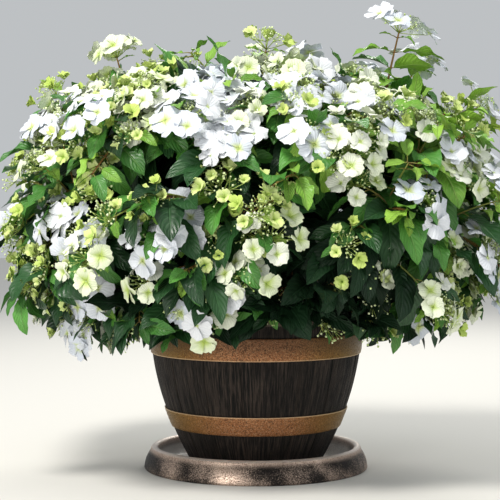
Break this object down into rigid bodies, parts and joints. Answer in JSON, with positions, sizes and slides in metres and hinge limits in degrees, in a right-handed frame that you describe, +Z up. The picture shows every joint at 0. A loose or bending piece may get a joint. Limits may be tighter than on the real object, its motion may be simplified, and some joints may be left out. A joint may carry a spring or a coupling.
{
  "type": "hydrangea shrub",
  "caption": "Mounded hydrangea shrub with arching leafy shoots and flat lacy heads of white flowers, grown in a barrel-shaped planter with bronze-coloured hoops that stands in a saucer.",
  "frame": {"origin": "centre of the saucer's flat underside, on the ground and on the planter's axis", "axes": "+Z up, -Y towards the side that the picture shows, +X to the right of that side"},
  "size_m": [0.8207, 0.7539, 0.7161],
  "materials": {
    "pot_wall": "dark wood-grain, matt",
    "hoop": "hammered bronze colour, satin",
    "saucer": "antique bronze colour, glossy",
    "compost": "loose and damp",
    "bark": "peeling bark",
    "foliage": "satin leaves and matt white florets"
  },
  "bodies": {
    "root": {"saucer": "saucer", "pot": "pot_wall", "hoop_upper": "hoop", "hoop_lower": "hoop", "compost": "compost", "stump": "bark", "bough_crest": "bark", "foliage_crest": "foliage", "bough_shoulder_1": "bark", "foliage_shoulder_1": "foliage", "bough_shoulder_2": "bark", "foliage_shoulder_2": "foliage", "bough_shoulder_3": "bark", "foliage_shoulder_3": "foliage", "bough_shoulder_4": "bark", "foliage_shoulder_4": "foliage", "bough_shoulder_5": "bark", "foliage_shoulder_5": "foliage", "bough_shoulder_6": "bark", "foliage_shoulder_6": "foliage", "bough_waist_1": "bark", "foliage_waist_1": "foliage", "bough_waist_2": "bark", "foliage_waist_2": "foliage", "bough_waist_3": "bark", "foliage_waist_3": "foliage", "bough_waist_4": "bark", "foliage_waist_4": "foliage", "bough_waist_5": "bark", "foliage_waist_5": "foliage", "bough_waist_6": "bark", "foliage_waist_6": "foliage", "bough_waist_7": "bark", "foliage_waist_7": "foliage", "bough_skirt_1": "bark", "foliage_skirt_1": "foliage", "bough_skirt_2": "bark", "foliage_skirt_2": "foliage", "bough_skirt_3": "bark", "foliage_skirt_3": "foliage", "bough_skirt_4": "bark", "foliage_skirt_4": "foliage", "bough_skirt_5": "bark", "foliage_skirt_5": "foliage", "bough_skirt_6": "bark", "foliage_skirt_6": "foliage", "bough_skirt_7": "bark", "foliage_skirt_7": "foliage"}
  },
  "joints": []
}
